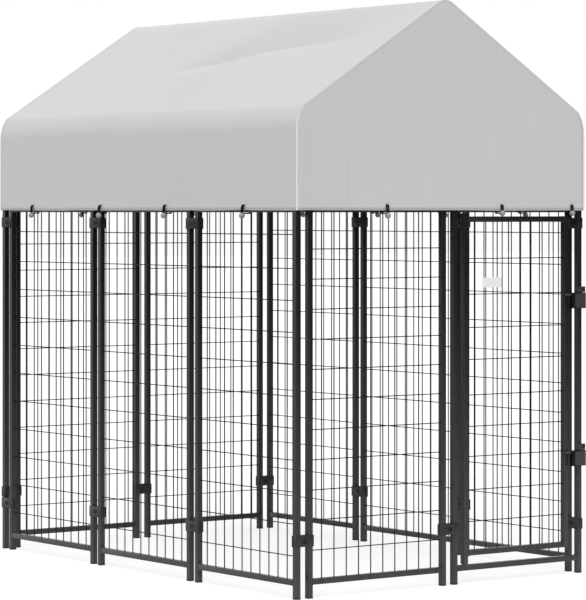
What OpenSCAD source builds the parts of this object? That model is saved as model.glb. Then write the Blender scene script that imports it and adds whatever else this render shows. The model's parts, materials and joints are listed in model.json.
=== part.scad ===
// Outdoor kennel run: welded wire panels clamped into a rectangle, a pivoting
// door with two slide bolts, and a gabled fabric cover on bent tube hoops.
// +Z up, origin on the ground under the middle of the run, door wall at -Y.

/* [Run] */
// Length of the run between corner post centres
run_l = 1830; // [1500:10:2400]
// Width of the run between corner post centres
run_w = 1220; // [1000:10:1600]
// Height of the panels above the ground
panel_h = 1276; // [1000:2:1600]
// Distance between the two posts at a panel joint
joint = 50; // [44:1:70]

/* [Tubes and wires] */
// Width of the square tube
tube = 19; // [16:0.5:25]
// Wall of the square tube
tube_wall = 1; // [0.8:0.1:1.5]
// Corner break of the square tube
tube_edge = 0.7; // [0.6:0.1:3]
// Height of the bottom rail's centre
rail_z = 54; // [40:1:90]
// Spacing of the upright wires
wire_pitch = 50.8; // [40:0.1:80]
// Spacing of the side panels' level wires
wire_rise = 103.9; // [80:0.1:140]
// First level wire of the side panels above the bottom rail's centre
wire_first = 85; // [40:0.5:120]
// Last level wire of the side panels below the top rail's centre
wire_last = 81.5; // [40:0.5:120]
// Spacing of the end panels' level wires
end_rise = 98.2; // [80:0.1:140]
// First level wire of the end panels above the bottom rail's centre
end_first = 101.5; // [40:0.5:120]
// Diameter of the upright wires
upright_d = 3.4; // [2:0.1:4.5]
// Diameter of the level wires
level_d = 2.8; // [2:0.1:4.5]
// Thickness of the plastic foot under each post
foot_t = 5; // [3:0.5:8]
// Depth of the plugs inside the tubes
plug_l = 16; // [10:1:24]

/* [Clamps] */
// Height of a clamp plate
clamp_h = 37; // [30:1:46]
// Thickness of a clamp plate
clamp_t = 2; // [1.5:0.1:3]
// How far a plate's lips wrap round the posts
clamp_lip = 8; // [5:0.5:9]
// Clamp bolt diameter
bolt_d = 6; // [5:0.5:8]
// Height of the lower clamps
clamp_low = 189; // [178:1:196]
// Height of the lower clamps along the side walls' end corners
clamp_corner = 172; // [162:1:178]
// Distance of the upper clamps below the top of the panels
clamp_high = 57; // [52:1:72]

/* [Door] */
// Hinge stile's centre from the frame's hinge post centre
hinge_in = 46; // [40:1:60]
// Latch stile's centre from the frame's latch post centre
latch_in = 63; // [60:1:72]
// Height of the leaf's bottom rail centre
leaf_low = 103.5; // [98:0.5:115]
// Spacing of the leaf's level wires
leaf_rise = 111.5; // [80:0.1:140]
// First level wire of the leaf above its bottom rail's centre
leaf_first = 104.5; // [40:0.5:120]
// How far the leaf's upright wires stand towards its hinge
leaf_shift = 3.5; // [0:0.5:10]
// Gap between the hanging tie balls and the leaf that swings below them
leaf_top_gap = 1; // [1:0.5:20]
// Hinge pin diameter
pin_d = 8; // [6:0.5:10]
// Length of a hinge pin above its collar
pin_l = 25; // [18:1:30]
// Height of the upper slide bolt
latch_high = 970; // [950:1:995]
// Height of the lower slide bolt
latch_low = 422; // [400:1:440]
// Slide bolt diameter
slide_d = 6; // [5:0.5:8]
// Travel of a slide bolt
slide_travel = 26; // [20:0.5:28]
// Width of the bare tag on the door wires
tag_w = 85; // [50:1:110]
// Height of the bare tag
tag_h = 34; // [20:1:44]

/* [Roof] */
// Diameter of the hoop tube
hoop_d = 16; // [14:0.5:16.5]
// Wall of the hoop tube
hoop_wall = 1; // [0.8:0.1:1.5]
// Depth of a hoop leg inside its post
leg_in = 60; // [40:1:90]
// Height of the eave line above the panels
eave_up = 312; // [250:1:420]
// Height of the ridge line above the eave line
ridge_up = 394; // [300:1:450]
// Bend radius of the cover at the eaves
eave_r = 80; // [70:1:120]
// Bend radius of the cover at the ridge
ridge_r = 60; // [45:1:80]
// Thickness of the cover
cover_t = 1.5; // [1:0.1:2.5]
// Gap between the side walls and the cover
side_gap = 1.5; // [0.5:0.5:8]
// Gap between the end walls and the cover
end_gap = 7; // [6:0.5:14]
// How far the hem hangs below the top of the panels
hem_drop = 12.5; // [8:0.5:16]

/* [Ties] */
// Diameter of the elastic cord
cord_d = 4.4; // [3:0.1:5]
// Diameter of a tie ball
ball_d = 20; // [14:0.5:22]
// How much lower the ties hang where the door does not pass
ball_drop = 8; // [0:0.5:12]
// Gap between the top rail and the cord that passes over it
grommet_up = 3; // [2:0.5:14]
// Outer diameter of a grommet
grommet_d = 15; // [14:0.5:22]

/* [Hidden] */
$fn = 48;
// Clearances: welded seam, seated piece, plugs, running pin, sliding bolt
seam = 0.1;
seat = 0.2;
plug_fit = 0.25;
run_fit = 0.05;
slide_fit = 0.3;
cover_fit = 0.5;

hw = run_w / 2;
hl = run_l / 2;
half = tube / 2;
bore = tube - 2 * tube_wall;
side_c = (run_l - 3 * joint) / 3;
front_c = (run_w - 2 * joint) / 2;
back_c = (run_w - 3 * joint) / 2;
rail_top = rail_z + half;
head_low = panel_h - tube;

// Panels: first post, direction along the wall with the outside at -Y, width
left_back = [[-hw, hl - joint], -90, side_c];
left_middle = [[-hw, hl - 2 * joint - side_c], -90, side_c];
left_front = [[-hw, hl - 3 * joint - 2 * side_c], -90, side_c];
right_front = [[hw, -hl + joint], 90, side_c];
right_middle = [[hw, -hl + 2 * joint + side_c], 90, side_c];
right_back = [[hw, -hl + 3 * joint + 2 * side_c], 90, side_c];
back_right = [[hw - joint, hl], 180, back_c];
back_left = [[hw - 2 * joint - back_c, hl], 180, back_c];
front_fixed = [[-hw + joint, -hl], 0, front_c];
front_door = [[-hw + 2 * joint + front_c, -hl], 0, front_c];
panels = [
    left_back, left_middle, left_front, right_front, right_middle, right_back,
    back_right, back_left, front_fixed, front_door
];
corner_at = [-hw, hl];

function along(p, d) = p[0] + d * [cos(p[1]), sin(p[1])];
posts = concat([for (p = panels) each [along(p, 0), along(p, p[2])]], [corner_at]);
hoop_y = [-hl, -hl / 3, hl / 3, hl];
function near(a, b) = abs(a - b) < 0.01;
function holds_leg(q) = near(abs(q[0]), hw) && max([for (y = hoop_y) near(q[1], y) ? 1 : 0]) == 1;

// Joints between posts: middle, direction, clamp heights
function joint_before(p, heights) = [along(p, -joint / 2), p[1], heights];
function joint_after(p, heights) = [along(p, p[2] + joint / 2), p[1], heights];
corner_step = clamp_corner + clamp_h + 4;
joints = [
    joint_before(left_back, [clamp_corner, panel_h - clamp_high]),
    joint_after(left_back, [clamp_low, panel_h - clamp_high]),
    joint_after(left_middle, [clamp_low, panel_h - clamp_high]),
    joint_before(front_fixed, [clamp_low]),
    joint_after(front_fixed, [clamp_low]),
    joint_before(right_front, [clamp_corner, panel_h - clamp_high]),
    joint_after(right_front, [clamp_low, panel_h - clamp_high]),
    joint_after(right_middle, [clamp_low, panel_h - clamp_high]),
    joint_before(back_right, [clamp_low]),
    joint_after(back_right, [clamp_low]),
    joint_after(back_left, [corner_step])
];
clamp_y = half + seat + clamp_t;
nut_t = 5;
head_t = 6;

// Door leaf, along the door panel from its hinge post
cord_low = head_low - cord_d / 2 - 0.8;
leaf_high = cord_low - ball_d / 2 - leaf_top_gap - half;
stile_x = front_c - latch_in;
collar_t = 3;
stile_low = rail_top + collar_t + seat;
stile_high = head_low - collar_t - seat;
bush_l = 22;
latches = [latch_high, latch_low];

// Heights of the level wires; the leaf's rows are welded a little out of step
function rows(first, rise, limit) = [for (i = [0:floor((limit - rise / 2 - first) / rise)]) first + i * rise];
last_row = panel_h - half - wire_last;
side_rows = concat(rows(rail_z + wire_first, wire_rise, last_row), [last_row]);
end_rows = rows(rail_z + end_first, end_rise, head_low);
row_slip = [0, -4, -2.5, -12, -17, -8, -11, -9.5];
leaf_even = rows(leaf_low + leaf_first, leaf_rise, leaf_high - half);
leaf_rows = [for (i = [0:len(leaf_even) - 1]) leaf_even[i] + (i < len(row_slip) ? row_slip[i] : 0)];

// Slide bolt housing, measured from the latch post's centre
case_left = -46.5;
case_right = half + 5.5;
case_depth = 16;
case_below = 47;
case_above = 7;
case_wall = 2.5;
slide_y = -half - seat - case_depth / 2;
keeper_right = -latch_in + half;
slide_tip = keeper_right + 3;
slide_tail = half - 2;
keeper_d = slide_d + 2 * slide_fit + 2.6;
keeper_past = 6;
neck_w = 10;
neck_x = -7;
grip_w = 34;
grip_h = 21;
grip_t = 9;
screw_d = 4;
screw_drops = [5, 41];

// Cover outline in the cross section
cover_w = hw + half + side_gap + cover_t;
cover_l = hl + half + end_gap + cover_t;
hem_z = panel_h - hem_drop;
eave_z = panel_h + eave_up;
ridge_z = eave_z + ridge_up;
pitch = atan(ridge_up / cover_w);
eave_c = [cover_w - eave_r, eave_z + eave_r * tan(pitch) - eave_r / cos(pitch)];
ridge_c = [0, ridge_z - ridge_r / cos(pitch)];
function arc(c, r, a, b, n) = [for (i = [0:n]) c + r * [cos(a + (b - a) * i / n), sin(a + (b - a) * i / n)]];
function half_outline(inset, low) = concat(
    [[cover_w - inset, low]],
    arc(eave_c, eave_r - inset, 0, 90 - pitch, 10),
    arc(ridge_c, ridge_r - inset, 90 - pitch, 90, 5)
);
function flip(pts) = [for (i = [len(pts) - 2:-1:0]) [-pts[i][0], pts[i][1]]];
function cover_outline(inset, low) = concat(half_outline(inset, low), flip(half_outline(inset, low)));

// Hoop axis, one cover and one fit inside the outline
hoop_r = hoop_d / 2;
axis_in = cover_t + cover_fit + hoop_r;
axis_ridge_r = ridge_r - axis_in;
axis_eave_r = eave_r - axis_in;
axis_eave_z = eave_z + (cover_w - hw) * tan(pitch) - axis_in / cos(pitch);
axis_eave_c = [
    hw - axis_eave_r,
    axis_eave_z + axis_eave_r * tan(pitch) - axis_eave_r / cos(pitch)
];
rafter_end = ridge_c + axis_ridge_r * [sin(pitch), cos(pitch)];
rafter_start = axis_eave_c + axis_eave_r * [sin(pitch), cos(pitch)];
rafter_l = norm(rafter_end - rafter_start);
spigot_l = 40;
bead_t = 4;
pole_z = ridge_c[1] + axis_ridge_r - hoop_d - seat;
pole_past = 12;
ridge_bolt_d = 5;

// Ties: place along each wall, wall direction, the wall's cover gap, and how far the tie hangs below the rail
tie_left = [-636, -170, 242, 701];
tie_front = [-250, 247, 565];
tie_right = [-615, -163, 243, 719];
tie_back = [-262, 250];
ties = concat(
    [for (y = tie_left) [[-hw, y], -90, side_gap, ball_drop]],
    [for (x = tie_front) [[x, -hl], 0, end_gap, x < 0 ? ball_drop : 0]],
    [for (y = tie_right) [[hw, y], 90, side_gap, ball_drop]],
    [for (x = tie_back) [[x, hl], 180, end_gap, ball_drop]]
);
grommet_z = panel_h + grommet_up + cord_d / 2;
grommet_t = 0.8;
grommet_bore = cord_d + 3;
grommet_hole = grommet_bore + 2.4;
cord_in = half + cord_d / 2 + 0.6;
cord_bend = 6;
cord_off = grommet_t + seat + cord_d / 2 + 0.4;
function cord_out(gap) = half + max(gap + cover_t + cord_off, ball_d / 2 + seat);

steel = "#3b3b3c";
wire_steel = "#454546";
zinc = "#6f7072";
plastic = "#161617";

module at_panel(p) translate([p[0][0], p[0][1], 0]) rotate(p[1]) children();

module square_outline(w, edge) {
    h = w / 2;
    polygon([
        [-h + edge, -h], [h - edge, -h], [h, -h + edge], [h, h - edge],
        [h - edge, h], [-h + edge, h], [-h, h - edge], [-h, -h + edge]
    ]);
}

module square_tube(l) {
    linear_extrude(l) difference() {
        square_outline(tube, tube_edge);
        square(bore, center = true);
    }
}

module post(x, low, high) translate([x, 0, low]) square_tube(high - low);

module rail(x0, x1, z) {
    translate([x0 + half + seam, 0, z]) rotate([0, 90, 0]) square_tube(x1 - x0 - tube - 2 * seam);
}

module panel_frame(c) {
    color(steel) {
        post(0, foot_t, panel_h);
        post(c, foot_t, panel_h);
        rail(0, c, rail_z);
        rail(0, c, panel_h - half);
    }
}

// Welded wires inside a frame whose tube centres lie at x0, x1, z0 and z1
module wires(x0, x1, z0, z1, levels, shift) {
    count = floor((x1 - x0 - tube) / wire_pitch);
    first = (x0 + x1 - (count - 1) * wire_pitch) / 2 - shift;
    color(wire_steel) {
        for (i = [0:count - 1])
            translate([first + i * wire_pitch, 0, z0 + half + seam])
                cylinder(h = z1 - z0 - tube - 2 * seam, d = upright_d);
        for (z = levels)
            translate([x0 + half + seam, (upright_d + level_d) / 2 + seam / 2, z])
                rotate([0, 90, 0]) cylinder(h = x1 - x0 - tube - 2 * seam, d = level_d);
    }
}

module side_mesh() wires(0, side_c, rail_z, panel_h - half, side_rows, 0);
module end_mesh(c) wires(0, c, rail_z, panel_h - half, end_rows, 0);

module left_back_frame() at_panel(left_back) panel_frame(side_c);
module left_back_mesh() at_panel(left_back) side_mesh();
module left_middle_frame() at_panel(left_middle) panel_frame(side_c);
module left_middle_mesh() at_panel(left_middle) side_mesh();
module left_front_frame() at_panel(left_front) panel_frame(side_c);
module left_front_mesh() at_panel(left_front) side_mesh();
module right_front_frame() at_panel(right_front) panel_frame(side_c);
module right_front_mesh() at_panel(right_front) side_mesh();
module right_middle_frame() at_panel(right_middle) panel_frame(side_c);
module right_middle_mesh() at_panel(right_middle) side_mesh();
module right_back_frame() at_panel(right_back) panel_frame(side_c);
module right_back_mesh() at_panel(right_back) side_mesh();
module back_right_frame() at_panel(back_right) panel_frame(back_c);
module back_right_mesh() at_panel(back_right) end_mesh(back_c);
module back_left_frame() at_panel(back_left) panel_frame(back_c);
module back_left_mesh() at_panel(back_left) end_mesh(back_c);
module front_fixed_frame() at_panel(front_fixed) panel_frame(front_c);
module front_fixed_mesh() at_panel(front_fixed) end_mesh(front_c);

module corner_post() {
    color(steel) translate(corner_at) post(0, foot_t, panel_h);
}

// Screws hold each slide bolt housing to the latch post's outer side
module at_screws() {
    at_panel(front_door)
        for (z = latches, drop = screw_drops)
            translate([front_c + case_right, 0, z - drop]) rotate([0, -90, 0]) children();
}

module door_frame() {
    difference() {
        at_panel(front_door) panel_frame(front_c);
        at_screws() cylinder(h = case_right, d = screw_d + 2 * seat);
    }
}

module door_leaf_frame() {
    at_panel(front_door) color(steel) {
        post(hinge_in, stile_low, stile_high);
        post(stile_x, leaf_low - half, leaf_high + half);
        rail(hinge_in, stile_x, leaf_low);
        rail(hinge_in, stile_x, leaf_high);
    }
}

module door_leaf_mesh() {
    at_panel(front_door) wires(hinge_in, stile_x, leaf_low, leaf_high, leaf_rows, leaf_shift);
}

module bare_tag() {
    tag_x = 167;
    tag_z = 1018;
    tag_t = 1.6;
    color("white") at_panel(front_door)
        translate([tag_x - tag_w / 2, -upright_d / 2 - seat - tag_t, tag_z - tag_h / 2])
            cube([tag_w, tag_t, tag_h]);
}

// Pivot pins stand on the door frame's rails, on the hinge stile's axis
module pivot_pin() {
    cylinder(h = collar_t, d = tube - 3);
    cylinder(h = collar_t + pin_l, d = pin_d);
}

module hinge_pins() {
    color(zinc) at_panel(front_door) {
        translate([hinge_in, 0, rail_top]) pivot_pin();
        translate([hinge_in, 0, head_low]) mirror([0, 0, 1]) pivot_pin();
    }
}

module hinge_bush() {
    difference() {
        linear_extrude(bush_l) square(bore - 2 * plug_fit, center = true);
        translate([0, 0, -1]) cylinder(h = bush_l + 2, d = pin_d + 2 * run_fit);
    }
}

module hinge_bushes() {
    color(plastic) at_panel(front_door) {
        translate([hinge_in, 0, stile_low]) hinge_bush();
        translate([hinge_in, 0, stile_high]) mirror([0, 0, 1]) hinge_bush();
    }
}

// Sleeve on the latch stile that takes the slide bolt
module bolt_keeper() {
    keeper_w = tube + keeper_past;
    foot_y = -half - seat;
    difference() {
        union() {
            translate([-keeper_w, slide_y, 0]) rotate([0, 90, 0]) cylinder(h = keeper_w, d = keeper_d);
            translate([-tube + 2, slide_y, -keeper_d / 2]) cube([tube - 4, foot_y - slide_y, keeper_d]);
        }
        translate([-keeper_w - 1, slide_y, 0]) rotate([0, 90, 0])
            cylinder(h = keeper_w + 2, d = slide_d + 2 * slide_fit);
    }
}

module bolt_keepers() {
    color(steel) at_panel(front_door)
        for (z = latches)
            translate([front_c + keeper_right, 0, z]) bolt_keeper();
}

// Housing in front of the latch post, with a lip round its outer side
module latch_case(z) {
    back_y = -half - seat;
    bore_l = slide_tail - case_left + slide_fit;
    color(steel) difference() {
        at_panel(front_door) translate([front_c, 0, z]) difference() {
            union() {
                translate([case_left, back_y - case_depth, -case_below])
                    cube([case_right - case_left, case_depth, case_below + case_above]);
                translate([half + seat, back_y - 1, -case_below])
                    cube([case_right - half - seat, half + 5, case_below + case_above - 4]);
            }
            translate([case_left - 1, slide_y, 0]) rotate([0, 90, 0])
                cylinder(h = bore_l + 1, d = slide_d + 2 * slide_fit);
            translate([neck_x - slide_travel - slide_fit, slide_y - slide_d / 2 - slide_fit, 0])
                cube([neck_w + slide_travel + 2 * slide_fit, slide_d + 2 * slide_fit, case_above + 1]);
            translate([case_left + case_wall, back_y - case_depth + case_wall, case_wall - case_below])
                cube([-half - case_left - 2 * case_wall, case_depth, case_below - slide_d - 2 * case_wall]);
        }
        at_screws() translate([0, 0, -1]) cylinder(h = case_right + 1, d = screw_d + 2 * seat);
    }
}

module upper_latch_case() latch_case(latch_high);
module lower_latch_case() latch_case(latch_low);

module slide_bolt(z) {
    grip_x = neck_x + (neck_w - grip_w) / 2;
    grip_z = case_above + 1;
    color(zinc) at_panel(front_door) translate([front_c, slide_y, z]) {
        translate([slide_tip, 0, 0]) rotate([0, 90, 0]) cylinder(h = slide_tail - slide_tip, d = slide_d);
        translate([neck_x, -slide_d / 2, 0]) cube([neck_w, slide_d, grip_z + 1]);
        difference() {
            translate([grip_x, -grip_t / 2, grip_z]) cube([grip_w, grip_t, grip_h]);
            translate([grip_x + grip_w - 8, 0, grip_z + grip_h - 8]) rotate([90, 0, 0])
                cylinder(h = grip_t + 2, d = 8, center = true);
        }
    }
}

module upper_slide_bolt() slide_bolt(latch_high);
module lower_slide_bolt() slide_bolt(latch_low);

module latch_screws() {
    color(zinc) at_screws() {
        cylinder(h = case_right - half + tube_wall + 3, d = screw_d);
        translate([0, 0, -4]) cylinder(h = 4 - seam, d = 2 * screw_d);
        translate([0, 0, -1]) cylinder(h = 2, d = screw_d);
    }
}

module post_feet() {
    color(plastic) for (q = posts) translate(q) {
        linear_extrude(foot_t - seam) square_outline(tube + 0.6, tube_edge);
        linear_extrude(foot_t + plug_l) square(bore - 2 * plug_fit, center = true);
    }
}

module post_caps() {
    cap_t = 2;
    color(plastic) for (q = posts) if (!holds_leg(q)) translate([q[0], q[1], panel_h]) {
        translate([0, 0, seam]) linear_extrude(cap_t) square_outline(tube, tube_edge);
        translate([0, 0, -plug_l]) linear_extrude(plug_l + 1) square(bore - 2 * plug_fit, center = true);
    }
}

module at_clamps() {
    for (j = joints, z = j[2]) translate([j[0][0], j[0][1], z]) rotate(j[1]) children();
}

// Pressed plate across both posts, with a lip round each
module clamp_plate() {
    reach = joint / 2 + half + seat;
    face = -clamp_y;
    lip = clamp_lip - half;
    difference() {
        translate([0, 0, -clamp_h / 2]) linear_extrude(clamp_h) polygon([
            [-reach - clamp_t, face], [reach + clamp_t, face], [reach + clamp_t, lip], [reach, lip],
            [reach, face + clamp_t], [-reach, face + clamp_t], [-reach, lip], [-reach - clamp_t, lip]
        ]);
        rotate([90, 0, 0]) cylinder(h = 2 * clamp_y + 2, d = bolt_d + 2 * seat, center = true);
    }
}

module clamp_outer_plates() color(steel) at_clamps() clamp_plate();
module clamp_inner_plates() color(steel) at_clamps() mirror([0, 1, 0]) clamp_plate();

module clamp_bolts() {
    color(zinc) at_clamps() rotate([90, 0, 0]) {
        translate([0, 0, clamp_y + seam]) cylinder(h = head_t, d1 = 2.2 * bolt_d, d2 = 1.3 * bolt_d);
        translate([0, 0, -clamp_y - nut_t - 3]) cylinder(h = 2 * clamp_y + nut_t + 3 + head_t / 2, d = bolt_d);
    }
}

module clamp_nuts() {
    color(zinc) at_clamps() rotate([-90, 0, 0]) translate([0, 0, clamp_y + seam]) difference() {
        cylinder(h = nut_t, d = 1.9 * bolt_d, $fn = 6);
        translate([0, 0, -1]) cylinder(h = nut_t + 2, d = bolt_d + 2 * run_fit);
    }
}

module hoop_tube(l) {
    difference() {
        cylinder(h = l, r = hoop_r);
        translate([0, 0, -1]) cylinder(h = l + 2, r = hoop_r - hoop_wall);
    }
}

// One half hoop: a leg with its eave bend, and the rafter that joins it
module half_hoop() {
    leg_l = axis_eave_c[1] - panel_h + leg_in;
    bead_z = panel_h + seam - axis_eave_c[1];
    color(steel) translate([axis_eave_c[0], 0, axis_eave_c[1]]) {
        translate([axis_eave_r, 0, -leg_l]) hoop_tube(leg_l);
        rotate([90, 0, 0]) rotate_extrude(angle = 90 - pitch) translate([axis_eave_r, 0]) difference() {
            circle(r = hoop_r);
            circle(r = hoop_r - hoop_wall);
        }
        translate([axis_eave_r, 0, bead_z]) difference() {
            cylinder(h = bead_t, r = half);
            translate([0, 0, -1]) cylinder(h = bead_t + 2, r = hoop_r - hoop_wall / 2);
        }
        rotate([0, pitch - 90, 0]) translate([axis_eave_r, 0, seam]) hoop_tube(rafter_l - seam);
    }
}

module hoop_right(i) translate([0, hoop_y[i], 0]) half_hoop();
module hoop_left(i) translate([0, hoop_y[i], 0]) mirror([1, 0, 0]) half_hoop();
module hoop_1_left() hoop_left(0);
module hoop_1_right() hoop_right(0);
module hoop_2_left() hoop_left(1);
module hoop_2_right() hoop_right(1);
module hoop_3_left() hoop_left(2);
module hoop_3_right() hoop_right(2);
module hoop_4_left() hoop_left(3);
module hoop_4_right() hoop_right(3);

// Bent piece at the ridge with a spigot in each rafter
module ridge_elbow() {
    spigot_r = hoop_r - hoop_wall - plug_fit;
    difference() {
        union() {
            translate([0, 0, ridge_c[1]]) rotate([90, 0, 0]) rotate(90 - pitch)
                rotate_extrude(angle = 2 * pitch) translate([axis_ridge_r, 0]) circle(r = hoop_r - seam);
            for (side = [0, 1]) mirror([side, 0, 0])
                translate([rafter_end[0], 0, rafter_end[1]]) rotate([0, 90 + pitch, 0])
                    translate([0, 0, -seam]) cylinder(h = spigot_l, r = spigot_r);
        }
        translate([0, 0, pole_z]) cylinder(h = hoop_d + 1, d = ridge_bolt_d + 2 * run_fit);
    }
}

module ridge_elbows() color(steel) for (y = hoop_y) translate([0, y, 0]) ridge_elbow();

module ridge_pole() {
    pole_l = run_l + 2 * pole_past;
    color(steel) difference() {
        translate([0, 0, pole_z]) rotate([90, 0, 0]) cylinder(h = pole_l, r = hoop_r, center = true);
        translate([0, 0, pole_z]) rotate([90, 0, 0])
            cylinder(h = pole_l + 2, r = hoop_r - hoop_wall, center = true);
        for (y = hoop_y) translate([0, y, pole_z])
            cylinder(h = 2 * hoop_d, d = ridge_bolt_d + 2 * seat, center = true);
    }
}

module ridge_bolts() {
    bolt_head = 3.5;
    color(zinc) for (y = hoop_y) translate([0, y, pole_z - hoop_r]) {
        translate([0, 0, -bolt_head - seam]) cylinder(h = bolt_head, d = 2 * ridge_bolt_d);
        translate([0, 0, -1]) cylinder(h = 1.5 * hoop_d, d = ridge_bolt_d);
    }
}

module at_ties() {
    for (t = ties) translate([t[0][0], t[0][1], 0]) rotate(t[1]) {
        $gap = t[2];
        $low = cord_low - t[3];
        children();
    }
}

// Sewn cover: one sheet over the roof and sides, a gable cloth at each end
module cover_holes() {
    at_ties() translate([0, -half - $gap, grommet_z]) rotate([90, 0, 0])
        cylinder(h = 4 * cover_t, d = grommet_hole, center = true);
}

module canopy_top_sheet() {
    color("#d6d6d6") difference() {
        rotate([90, 0, 0]) linear_extrude(2 * cover_l, center = true) difference() {
            polygon(cover_outline(0, hem_z));
            polygon(cover_outline(cover_t, hem_z - 1));
        }
        cover_holes();
    }
}

module canopy_gable(end) {
    color("#c9c9c9") difference() {
        translate([0, end * (cover_l - cover_t / 2), 0]) rotate([90, 0, 0])
            linear_extrude(cover_t, center = true) polygon(cover_outline(cover_t + seam, hem_z));
        cover_holes();
    }
}

module canopy_front_gable() canopy_gable(-1);
module canopy_back_gable() canopy_gable(1);

// Eyelet with a flange on each face of the cover
module cover_grommets() {
    color(zinc) at_ties() translate([0, -half - $gap, grommet_z]) rotate([90, 0, 0]) difference() {
        union() {
            translate([0, 0, -grommet_t - seam]) cylinder(h = grommet_t, d = grommet_d);
            translate([0, 0, cover_t + seam]) cylinder(h = grommet_t, d = grommet_d);
            translate([0, 0, -grommet_t]) cylinder(h = cover_t + 2 * grommet_t, d = grommet_hole - 2 * seat);
        }
        cylinder(h = 8 * cover_t, d = grommet_bore, center = true);
    }
}

// Elastic loop: up from the ball, in through the grommet, round the top rail
module cord_bend_piece(y, z, turn) {
    translate([0, y, z]) rotate([0, -90, 0]) rotate(turn)
        rotate_extrude(angle = 90) translate([cord_bend, 0]) circle(d = cord_d);
}

module cord_loop(out, low) {
    y_out = -out;
    y_in = cord_in;
    span = y_in - y_out;
    translate([0, y_out, low]) cylinder(h = grommet_z - low - cord_bend, d = cord_d);
    cord_bend_piece(y_out + cord_bend, grommet_z - cord_bend, 270);
    translate([0, y_out + cord_bend, grommet_z]) rotate([-90, 0, 0])
        cylinder(h = span - 2 * cord_bend, d = cord_d);
    cord_bend_piece(y_in - cord_bend, grommet_z - cord_bend, 0);
    translate([0, y_in, low + cord_bend])
        cylinder(h = grommet_z - low - 2 * cord_bend, d = cord_d);
    cord_bend_piece(y_in - cord_bend, low + cord_bend, 90);
    translate([0, y_out, low]) rotate([-90, 0, 0]) cylinder(h = span - cord_bend, d = cord_d);
}

module tie_cords() color("#1b1b1c") at_ties() cord_loop(cord_out($gap), $low);

module tie_balls() {
    channel = cord_d + 2 * seam;
    color("#dcdcd8") at_ties() translate([0, -cord_out($gap), $low]) difference() {
        sphere(d = ball_d);
        translate([0, 0, -channel / 2]) cylinder(h = ball_d, d = channel);
        translate([0, -channel / 2, 0]) rotate([-90, 0, 0]) cylinder(h = ball_d, d = channel);
    }
}

left_back_frame();
left_back_mesh();
left_middle_frame();
left_middle_mesh();
left_front_frame();
left_front_mesh();
right_front_frame();
right_front_mesh();
right_middle_frame();
right_middle_mesh();
right_back_frame();
right_back_mesh();
back_right_frame();
back_right_mesh();
back_left_frame();
back_left_mesh();
front_fixed_frame();
front_fixed_mesh();
corner_post();
door_frame();
door_leaf_frame();
door_leaf_mesh();
bare_tag();
hinge_pins();
hinge_bushes();
bolt_keepers();
upper_latch_case();
upper_slide_bolt();
lower_latch_case();
lower_slide_bolt();
latch_screws();
post_feet();
post_caps();
clamp_outer_plates();
clamp_inner_plates();
clamp_bolts();
clamp_nuts();
hoop_1_left();
hoop_1_right();
hoop_2_left();
hoop_2_right();
hoop_3_left();
hoop_3_right();
hoop_4_left();
hoop_4_right();
ridge_elbows();
ridge_pole();
ridge_bolts();
canopy_top_sheet();
canopy_front_gable();
canopy_back_gable();
cover_grommets();
tie_cords();
tie_balls();
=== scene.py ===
import json
import math
import bmesh
import bpy
from mathutils import Matrix, Vector, noise


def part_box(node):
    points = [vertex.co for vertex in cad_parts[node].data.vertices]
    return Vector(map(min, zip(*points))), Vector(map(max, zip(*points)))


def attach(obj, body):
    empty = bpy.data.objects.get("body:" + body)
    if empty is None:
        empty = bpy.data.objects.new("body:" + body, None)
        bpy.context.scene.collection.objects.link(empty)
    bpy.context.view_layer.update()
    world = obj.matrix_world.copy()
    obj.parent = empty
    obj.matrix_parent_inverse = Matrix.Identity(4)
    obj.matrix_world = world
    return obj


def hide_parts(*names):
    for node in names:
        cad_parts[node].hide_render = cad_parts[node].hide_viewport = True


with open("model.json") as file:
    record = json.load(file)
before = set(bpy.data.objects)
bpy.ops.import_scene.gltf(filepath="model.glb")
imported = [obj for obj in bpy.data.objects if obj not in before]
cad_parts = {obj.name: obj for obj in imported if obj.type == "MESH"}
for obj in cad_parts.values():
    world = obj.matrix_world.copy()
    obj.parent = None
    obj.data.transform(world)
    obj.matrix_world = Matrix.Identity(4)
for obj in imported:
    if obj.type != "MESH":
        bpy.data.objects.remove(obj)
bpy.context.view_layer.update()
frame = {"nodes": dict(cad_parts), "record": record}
nodes = frame["nodes"]
slotOf = {part["node"]: part["material_slot"] for part in frame["record"]["subparts"]}
bodyOf = {node: body for body, held in frame["record"]["behaviour"]["bodies"].items() for node in held}
print("frame loaded:", len(nodes), "nodes")

# the run's layout in metres, as the panels stand
run = {
    "halfWidth": 0.61, "halfLength": 0.915, "joint": 0.05, "tube": 0.019,
    "sidePanel": 0.56, "frontPanel": 0.56, "backPanel": 0.535,
    "railLow": 0.054, "railHigh": 1.2665,
    "wirePitch": 0.0508, "uprightWire": 0.0034,
    "sideRows": [0.139 + 0.1039 * i for i in range(10)] + [1.185],
    "endRows": [0.1555 + 0.0982 * i for i in range(11)],
}


# camera at the eye height and heading that the posts in the picture give
view = {
    "place": (-6.3555, -8.6915, 1.2622), "heading": -36.389,
    "lens": 178.72, "sensor": 36, "shiftY": -0.1487, "clip": 100,
}


def setCamera():
    data = bpy.data.cameras.new("mainCamera")
    data.lens = view["lens"]
    data.sensor_width = view["sensor"]
    data.shift_y = view["shiftY"]
    data.clip_end = view["clip"]
    cam = bpy.data.objects.new("mainCamera", data)
    cam.location = view["place"]
    cam.rotation_euler = (math.radians(90), 0, math.radians(view["heading"]))
    bpy.context.scene.collection.objects.link(cam)
    bpy.context.scene.camera = cam


setCamera()
print("camera set")


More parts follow.
